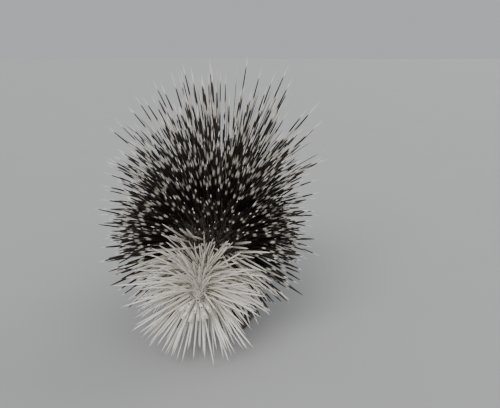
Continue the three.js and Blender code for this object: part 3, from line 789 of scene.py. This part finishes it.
def remeshed(parts, voxel, rounds):
    """Closed forms fused into one smooth mesh."""
    points, quads, tris = joined(parts)
    rough = mesh_object("skin_rough", points, [quads, tris])
    fuse = rough.modifiers.new("fuse", "REMESH")
    fuse.mode = "VOXEL"
    fuse.voxel_size = voxel * MM
    soften = rough.modifiers.new("soften", "SMOOTH")
    soften.factor = 0.5
    soften.iterations = rounds
    graph = bpy.context.evaluated_depsgraph_get()
    mesh = bpy.data.meshes.new_from_object(rough.evaluated_get(graph))
    bpy.data.objects.remove(rough)
    return mesh


def finer_head(mesh):
    """Cuts each face of the head in four, so that its features come out."""
    back = FINE_HEAD["back"] * MM + OFFSET[1]
    low = FINE_HEAD["low"] * MM
    shape = bmesh.new()
    shape.from_mesh(mesh)
    edges = [e for e in shape.edges if all(v.co.y < back and v.co.z > low for v in e.verts)]
    bmesh.ops.subdivide_edges(shape, edges=edges, cuts=1, use_grid_fill=True)
    bmesh.ops.triangulate(shape, faces=[f for f in shape.faces if len(f.verts) > 4])
    shape.to_mesh(mesh)
    shape.free()


def vertex_values(mesh, key):
    flat = np.empty(len(mesh.vertices) * 3)
    mesh.vertices.foreach_get(key, flat)
    return flat.reshape(-1, 3)


def skin():
    """The skin of the whole body, with the features of the head."""
    parts = [lofted(TRUNK, 90, 72), lofted(HEAD, 60, 56), lofted(TAIL, 40, 36)]
    for _, side in SIDES:
        parts += [lofted(on_side(rows, side), 44, 36) for rows in (FORELEG, HINDLEG)]
        for _, foot in FEET:
            parts.append(lofted(pad_rows(side, foot), 24, 32))
            parts += [lofted(toe_rows(side, foot, toe), 16, 18) for toe in foot["toes"]]
    mesh = remeshed(parts, SKIN_VOXEL, SKIN_ROUNDS)
    finer_head(mesh)
    points = (vertex_values(mesh, "co") - OFFSET) / MM
    points += vertex_values(mesh, "normal") * head_relief(points)[:, None]
    points[:, 2] = np.maximum(points[:, 2], 0.0)
    mesh.vertices.foreach_set("co", (points * MM + OFFSET).ravel())
    add_values(mesh, {"bare": bareness(points), "white": whiteness(points)})
    mesh.polygons.foreach_set("use_smooth", np.ones(len(mesh.polygons), bool))
    mesh.materials.append(SKIN)
    return linked("skin", mesh)


def flesh():
    """The skin, ears and lids."""
    body = skin()
    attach(body, "root")
    nodes = ["head", "neck", "torso", "rump", "tail"]
    for word, _ in SIDES:
        nodes += [f"{part}_{word}" for part in ("foreleg", "forefoot", "hindleg", "hindfoot")]
    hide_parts(*nodes)
    for word, side in SIDES:
        points, quads = ear(side)
        values = even_values(len(points), bare=0.7, white=0)
        cup = mesh_object("ear_cup_" + word, points, [quads], SKIN, values)
        tidy_normals(cup)
        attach(cup, "root")
        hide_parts("ear_" + word)
        points, quads = lids(side)
        values = even_values(len(points), bare=0.25, white=0)
        lid = mesh_object("lids_" + word, points, [quads], SKIN, values)
        tidy_normals(lid)
        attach(lid, "root")


def horn_claws():
    """Every claw as a curved, tapered horn, in one mesh."""
    paths, halves, thicks, across, nodes = [], [], [], [], []
    s = np.linspace(0, 1, 12)
    for word, side in SIDES:
        for end, foot in FEET:
            length, radius = foot["claw"]
            for k, toe in enumerate(foot["toes"]):
                _, tip, forward = toe_line(side, foot, toe)
                size = radius * (1 - 0.93 * s ** 1.7)
                path = tip + forward * (length * (s[:, None] * 1.12 - 0.12))
                path[:, 2] = tip[2] + 1.6 * np.sin(s * 2.2) - length * 0.27 * s ** 2
                path[:, 2] = np.maximum(path[:, 2], size * 1.05 + 0.2)
                paths.append(path)
                halves.append(size[:-1] * 0.78)
                thicks.append(size[:-1])
                across.append([-forward[1], forward[0], 0])
                nodes.append(f"claw_{end}_{word}_{k + 1}")
    count = len(paths)
    obj = strands("claws", np.array(paths), (np.array(halves), np.array(thicks)), np.array(across), 12,
                  np.full(count, 0.5), np.zeros(count), cells(count), CLAW)
    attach(obj, "root")
    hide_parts(*nodes)


# Roots and strands of the coat
def stretch(rows, y0, y1):
    """The two t of a form between two y."""
    return t_at_y(rows, y0), t_at_y(rows, y1)


def roots_on(rows, ends, arc, spacing):
    """Evenly scattered places on a form, as t and angle, between two t and two angles."""
    jitter, samples = 0.45, 60
    start, width = arc[0], arc[1] - arc[0]
    line = np.linspace(*ends, samples)
    track = point_on(rows, line, np.full(samples, (arc[0] + arc[1]) / 2))
    steps = np.append(0, np.cumsum(np.linalg.norm(np.diff(track, axis=0), axis=1)))
    t_step = spacing * abs(ends[1] - ends[0]) / steps[-1]
    ts, angles = [], []
    for k in range(max(1, int(steps[-1] / spacing))):
        t = np.interp((k + 0.5) * spacing, steps, line)
        half, above, below = frame_at(rows, t)[4]
        count = max(1, int((half + (above + below) / 2) / 2 * width / spacing))
        places = np.arange(count) + 0.5 + chance.uniform(-jitter, jitter, count)
        angles.append(start + places * width / count)
        ts.append(t + chance.uniform(-jitter, jitter, count) * t_step)
    return np.clip(np.concatenate(ts), 0.001, 0.999), np.concatenate(angles)


def tufts(name, rows, roots, lie, hair, avoid=(), relief=None):
    """Flat, pointed tufts that lie along the skin, lift off it a little and bend back to it.

    hair is their length, width and lift. The length may be a rule that gives each root its own, where 0
    leaves the skin bare. No tuft grows inside the forms to avoid, and relief moves the roots out or in.
    """
    droop, tones, patch = 0.55, (0.2, 0.9), 0.003
    length, width, lift = hair
    t, angle = roots
    root = point_on(rows, t, angle)
    length = length(root) if callable(length) else np.full(len(t), float(length))
    keep = length > 0
    for other in avoid:
        keep &= ~inside(other, root, -2.0)
    t, angle, root, length = t[keep], angle[keep], root[keep], length[keep]
    normal = normal_on(rows, t, angle)
    if relief:
        root = root + normal * relief(root)[:, None]
    count = len(t)
    lie = np.broadcast_to(np.asarray(lie, float), (count, 3))
    along = unit(lie - normal * dot(lie, normal))
    along = unit(along + np.cross(normal, along) * chance.normal(0, 0.16, (count, 1)))
    across = np.cross(normal, along)
    size = (length * chance.uniform(0.75, 1.2, count))[:, None]
    raised = lift * chance.uniform(0.6, 1.4, (count, 1))
    s = TUFT_RINGS
    high = size * raised * (s - droop * s ** 2) - np.where(s == 0, 1.5, 0)
    paths = root[:, None] + along[:, None] * (size * s)[..., None] + normal[:, None] * high[..., None]
    paths += across[:, None] * (size * s ** 2 * chance.normal(0, 0.07, (count, 1)))[..., None]
    half = width * chance.uniform(0.8, 1.2, (count, 1)) * np.array([0.55, 1.0, 0.7]) / 2
    column = (angle - angle.min()) / (np.ptp(angle) + 1e-6)
    line = (t - t.min()) / (np.ptp(t) + 1e-6)
    patches = np.stack([column, line], -1) * 0.995, (patch, patch)
    white = np.clip(whiteness(root) * chance.uniform(0.75, 1.15, count), 0, 1)
    tone = chance.uniform(*tones, count)
    obj = strands(name, paths, (half, half * 0.45), across, 3, tone, white, patches, FUR)
    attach(obj, "root")


def within_box(paths, spare):
    """Strands shortened about their roots where they pass the solids' box by more than a spare length."""
    root = paths[:, :1]
    reach = paths - root
    low = (np.array(CAD_BOX[0]) - OFFSET) / MM - spare - root
    high = (np.array(CAD_BOX[1]) - OFFSET) / MM + spare - root
    room = np.maximum(np.where(reach > 0, high, -low), 0) / np.maximum(np.abs(reach), 1e-6)
    return root + reach * np.minimum(room[:, 1:].min(axis=(1, 2)), 1)[:, None, None]


def horn(name, paths, radius, material, sides=6, white=0.0, spare=5.0):
    """Round, pointed quills along paths. One that would touch the floor is left out."""
    keep = paths[:, 1:, 2].min(1) > FLOOR_CLEARANCE
    paths = within_box(paths[keep], spare)
    count, steps = paths.shape[:2]
    s = np.linspace(0, 1, steps)[:-1]
    profile = (0.6 + 0.4 * np.clip(s / 0.3, 0, 1)) * np.clip(1 - s ** 3.8, 0, 1) ** 0.8
    half = radius[keep, None] * profile
    across = unit(chance.normal(0, 1, (count, 3)))
    tone = chance.uniform(0, 1, count)
    white = np.broadcast_to(white, keep.shape)[keep]
    obj = strands(name, paths, (half, half), across, sides, tone, white, cells(count), material)
    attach(obj, "root")


def quills(name, rows, roots, length, lean, radius, material, bend=0.0, sides=6, stray=0.08, white=0.0):
    """Quills that stand out of the skin, lean backwards, stray a little and bend back at their tips."""
    t, angle = roots
    count = len(t)
    root = point_on(rows, t, angle)
    back = np.array([0, 1.0, 0]) * np.broadcast_to(lean, count)[:, None]
    direction = unit(normal_on(rows, t, angle) + back)
    direction = unit(direction + chance.normal(0, stray, (count, 3)))
    s = QUILL_RINGS
    sag = np.array([0, 1.0, -0.35]) * np.broadcast_to(bend, count)[:, None]
    paths = root[:, None] + direction[:, None] * (length[:, None] * s)[..., None]
    paths = paths + sag[:, None] * (s ** 2)[None, :, None]
    horn(name, paths, radius, material, sides, white)


# Quills that end where the photograph shows them
def photo_point(u, v, y):
    """The point at depth y that the camera sees at a pixel of the photograph."""
    right = np.array([-math.cos(YAW), -math.sin(YAW), 0])
    look = np.array([math.sin(YAW) * math.cos(PITCH), -math.cos(YAW) * math.cos(PITCH), -math.sin(PITCH)])
    up = np.cross(right, look)
    way = unit(look + right * (u - PHOTO[0] / 2) / FOCAL + up * (PHOTO[1] / 2 - v) / FOCAL)
    return CAMERA + way * ((y - CAMERA[1]) / way[1])


def angle_towards(tip, middle):
    return np.array(math.atan2(tip[0] - middle[0], tip[2] - middle[2]))


def rooted_path(root, tip, normal, sunk, bow):
    """A quill's path from under the skin to its tip, with a bow outwards."""
    s = np.linspace(0, 1, 9)[:, None]
    return root - normal * sunk * (1 - s) ** 3 + (tip - root) * s + normal * bow * (s * (1 - s)) * 4


def fan_quills():
    """The longest quills of the back."""
    paths = []
    for u, v in FAN_TIPS:
        high = np.clip((200 - v) / 150, 0, 1)
        tip_y = 40 - 90 * high + chance.uniform(-20, 20)
        tip = photo_point(u, v, tip_y)
        root_y = tip_y - 60 - 40 * (1 - high)
        t = t_at_y(TRUNK, root_y)
        angle = angle_towards(tip, (0, root_y, 205.0))
        paths.append(rooted_path(point_on(TRUNK, t, angle), tip, normal_on(TRUNK, t, angle), 8, 14))
    return np.array(paths)


def tail_rays():
    """The longest white quills of the tail."""
    paths = []
    for u, v in TAIL_TIPS:
        tip = photo_point(u, v, chance.uniform(372, 400))
        t = np.array(chance.uniform(0.35, 0.7))
        angle = angle_towards(tip, frame_at(TAIL, t)[0])
        paths.append(rooted_path(point_on(TAIL, t, angle), tip, normal_on(TAIL, t, angle), 6, 0))
    return np.array(paths)


# Coats
def back_coat():
    horn("fan_quills", fan_quills(), np.full(len(FAN_TIPS), 2.7), LONG_QUILL, spare=14)
    t, angle = roots_on(TRUNK, stretch(TRUNK, *BACK), (-1.75, 1.75), QUILL_SPACING)
    y = frame_at(TRUNK, t)[0][:, 1]
    share = (y + 98) / 250
    low = np.sin(angle) ** 2
    lean = 0.12 + 0.48 * share + 0.5 * low
    long = (385 - 140 * share) * (1 - 0.36 * low) * np.where(y < -40, 1 - 0.35 * low, 1)
    picked = chance.random(len(t)) < 0.55
    for name, chosen, lengths, radii, material, bow in [
        ("long_quills", picked, (0.72, 1.0), (1.7, 2.6), LONG_QUILL, 0.05),
        ("stout_quills", ~picked, (0.42, 0.62), (2.6, 3.4), STOUT_QUILL, 0.0),
    ]:
        count = chosen.sum()
        length = long[chosen] * chance.uniform(*lengths, count)
        quills(name, TRUNK, (t[chosen], angle[chosen]), length, lean[chosen], chance.uniform(*radii, count),
               material, bend=long[chosen] * bow)


def crest_coat():
    for name, rows, ys, arc, spacing, lengths in CREST:
        t, angle = roots_on(rows, stretch(rows, *ys), (-arc, arc), spacing)
        count = len(t)
        long = chance.uniform(*lengths, count) * (1 - 0.3 * np.abs(np.sin(angle)))
        white = np.where(chance.random(count) < 0.3, chance.uniform(0.5, 0.9, count), 0)
        quills(name, rows, (t, angle), long, 0.32, chance.uniform(0.8, 1.25, count), CREST_BRISTLE,
               bend=long * 0.19, sides=5, stray=0.07, white=white)


def rump_coat():
    t, angle = roots_on(TRUNK, stretch(TRUNK, *RUMP), (-2.5, 2.5), QUILL_SPACING)
    count = len(t)
    y = frame_at(TRUNK, t)[0][:, 1]
    share = (y - RUMP[0]) / (RUMP[1] - RUMP[0])
    low = (1 - np.cos(angle)) / 2
    long = (225 - 100 * share) * (1 - 0.42 * low) * chance.uniform(0.75, 1.05, count)
    white = share * 1.6 + low * 1.2 + chance.uniform(-0.25, 0.25, count) > 1.4
    quills("rump_quills", TRUNK, (t, angle), long, 0.55, chance.uniform(2.1, 3.1, count), STOUT_QUILL,
           white=white.astype(float))


def tail_coat():
    horn("tail_rays", tail_rays(), np.full(len(TAIL_TIPS), 2.5), STOUT_QUILL, white=1.0)
    t, angle = roots_on(TAIL, stretch(TAIL, 262, 360), (-math.pi, math.pi), 7.5)
    low = (1 - np.cos(angle)) / 2
    long = (98 + 68 * low) * chance.uniform(0.72, 1.06, len(t))
    quills("tail_quills", TAIL, (t, angle), long, 0.5, chance.uniform(1.5, 2.4, len(t)), STOUT_QUILL,
           white=1.0, stray=0.13)


def rattle():
    """Hollow, open quills on thin stalks at the end of the tail."""
    sides = 14
    turn = around(sides)[:, None]
    middle, side, up, along, _ = frame_at(TAIL, 0.93)
    parts = []
    for k in range(RATTLE_QUILLS):
        bearing = FULL_TURN * k * 0.382
        wide = 0.2 + 0.6 * ((k + 0.5) / RATTLE_QUILLS) ** 0.6
        heading = unit(along + side * math.sin(bearing) * wide + up * (math.cos(bearing) * wide - 0.12))
        across, lift = basis(heading)
        circle = across * np.cos(turn) + lift * np.sin(turn)
        length = chance.uniform(48, 60)
        rings = [middle + heading * (2 + length * share) + circle * radius for share, radius in RATTLE_RINGS]
        parts.append(tube(np.array(rings)))
    points, quads, tris = joined(parts)
    values = even_values(len(points), along=0.6, tone=0.5, white=1.0)
    count = len(RATTLE_RINGS)
    column, line = np.meshgrid(np.arange(sides) / sides, np.arange(count) / count)
    patch = np.vstack([np.stack([column.ravel(), line.ravel()], -1), [[0.5, 0.95], [0.5, 0.99]]])
    corner, size = cells(RATTLE_QUILLS)
    uv = (corner[:, None] + patch[None] * size).reshape(-1, 2)
    obj = mesh_object("rattle_quills", points, [quads, tris], STOUT_QUILL, values, uv)
    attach(obj, "root")


def face_length(root):
    """Hair of the head: shortest on the nose, none on the nostrils, lips and eyelids."""
    length = np.interp(root[:, 1], [-381, -372, -345, -250], [3.8, 6, 9, 16])
    for _, side in SIDES:
        centre, _ = eye_at(side)
        length = np.minimum(length, np.linalg.norm(root - centre, axis=1) * 1.2 - 8.6)
        x, y, z = NOSTRIL
        away = polyline_distance(root, [[0, y, z - 2], [side * (x + 6), y + 2, z + 2]])
        length = np.where(away < 6.5, 0, length)
    lips = polyline_distance(root, MOUTH_LINE)
    return np.where((lips < 2.6) | (length < 1.2), 0, length)


# Length, width and lift of the tufts of each part.
HAIR = {
    "back": (36, 2.0, 0.55),
    "flank": (36, 2.2, 0.34),
    "belly": (24, 2.4, 0.3),
    "leg": (18, 1.7, 0.28),
    "foot": (8.5, 1.1, 0.26),
    "neck": (34, 2.3, 0.36),
    "head": (face_length, 1.15, 0.34),
    "tail": (20, 2.0, 0.5),
}


def leg_hair(word, side):
    for (end, foot), rows in zip(FEET, (FORELEG, HINDLEG)):
        limb = on_side(rows, side)
        roots = roots_on(limb, (0.05, 0.93), (-math.pi, math.pi), 3.2)
        tufts(f"coat_{end}leg_{word}", limb, roots, (0, 0.3, -1), HAIR["leg"], avoid=[TRUNK])
        pad = pad_rows(side, foot)
        roots = roots_on(pad, (0.03, 0.97), (-1.5, 1.5), 2.4)
        tufts(f"coat_{end}foot_{word}", pad, roots, (0, -1, -0.1), HAIR["foot"])


def hair_coat():
    legs = [FORELEG, mirrored(FORELEG), HINDLEG, mirrored(HINDLEG)]
    all_round = (-math.pi, math.pi)
    back = (0, 1, 0)
    back_and_down = (0, 1, -0.25)
    roots = roots_on(TRUNK, stretch(TRUNK, -146, 262), (-1.5, 1.5), 5.0)
    tufts("coat_back", TRUNK, roots, back, HAIR["back"])
    for word, side in SIDES:
        roots = roots_on(TRUNK, stretch(TRUNK, -146, 250), sorted((side * 1.3, side * 2.9)), 3.3)
        tufts("coat_flank_" + word, TRUNK, roots, back_and_down, HAIR["flank"], avoid=legs)
        roots = roots_on(TRUNK, stretch(TRUNK, -150, 240), sorted((side * 2.8, side * 3.15)), 4.2)
        tufts("coat_belly_" + word, TRUNK, roots, back, HAIR["belly"], avoid=legs)
        leg_hair(word, side)
    roots = roots_on(TRUNK, stretch(TRUNK, -240, -140), all_round, 3.5)
    tufts("coat_neck", TRUNK, roots, back_and_down, HAIR["neck"])
    roots = roots_on(HEAD, stretch(HEAD, -379.6, -222), all_round, 2.4)
    tufts("coat_head", HEAD, roots, (0, 1, 0.1), HAIR["head"], relief=head_relief)
    roots = roots_on(TAIL, stretch(TAIL, 250, 364), all_round, 4.2)
    tufts("coat_tail", TAIL, roots, back, HAIR["tail"])


def whiskers():
    """Thin bristles at the sides of the snout."""
    paths = []
    s = np.linspace(0, 1, 9)[:, None]
    for _, side in SIDES:
        for _ in range(WHISKERS_A_SIDE):
            angle = np.array(side * chance.uniform(1.1, 2.0))
            t = t_at_y(HEAD, chance.uniform(-372, -342))
            root = point_on(HEAD, t, angle)
            long = chance.uniform(55, 120)
            stray = np.array([0, chance.uniform(0.1, 0.9), chance.uniform(-0.3, 0.3)])
            heading = unit(normal_on(HEAD, t, angle) + stray)
            bend = np.array([0, 0.35, -0.25]) * long
            paths.append(root + heading * (long * (s * 1.03 - 0.03)) + bend * s ** 2)
    horn("whiskers", np.array(paths), np.full(len(paths), 0.38), CREST_BRISTLE, sides=4)


# Studio
def pale_floor():
    bpy.ops.mesh.primitive_plane_add(size=160)
    floor = bpy.context.object
    floor.name = "floor"
    look = Nodes("pale_floor", 0.9)
    look.colour(look.mix(look.noise(3.0), FLOOR_DARK, FLOOR_PALE))
    floor.data.materials.append(look.material)


def soft_light():
    scene = bpy.context.scene
    world = scene.world or bpy.data.worlds.new("world")
    scene.world = world
    world.use_nodes = True
    background = world.node_tree.nodes["Background"]
    background.inputs["Color"].default_value = (*SKY["colour"], 1)
    background.inputs["Strength"].default_value = SKY["strength"]
    for name, place, angle, strength in LIGHTS:
        light = bpy.data.lights.new(name, "SUN")
        light.angle = angle
        light.energy = strength
        lamp = bpy.data.objects.new(name, light)
        lamp.location = place
        lamp.rotation_euler = (Vector(AIM) - lamp.location).to_track_quat("-Z", "Y").to_euler()
        scene.collection.objects.link(lamp)


def photo_camera():
    """The camera at the photograph's angle."""
    sensor = 36
    scene = bpy.context.scene
    camera = bpy.data.cameras.new("camera")
    camera.sensor_fit = "HORIZONTAL"
    camera.sensor_width = sensor
    camera.lens = sensor * FOCAL / PHOTO[0]
    camera.clip_end = 200
    view = bpy.data.objects.new("camera", camera)
    view.location = CAMERA * MM + OFFSET
    view.rotation_euler = (math.pi / 2 - PITCH, 0, math.pi + YAW)
    scene.collection.objects.link(view)
    scene.camera = view


pale_floor()
soft_light()
photo_camera()
flesh()
eyeballs()
horn_claws()
back_coat()
crest_coat()
rump_coat()
tail_coat()
rattle()
hair_coat()
whiskers()
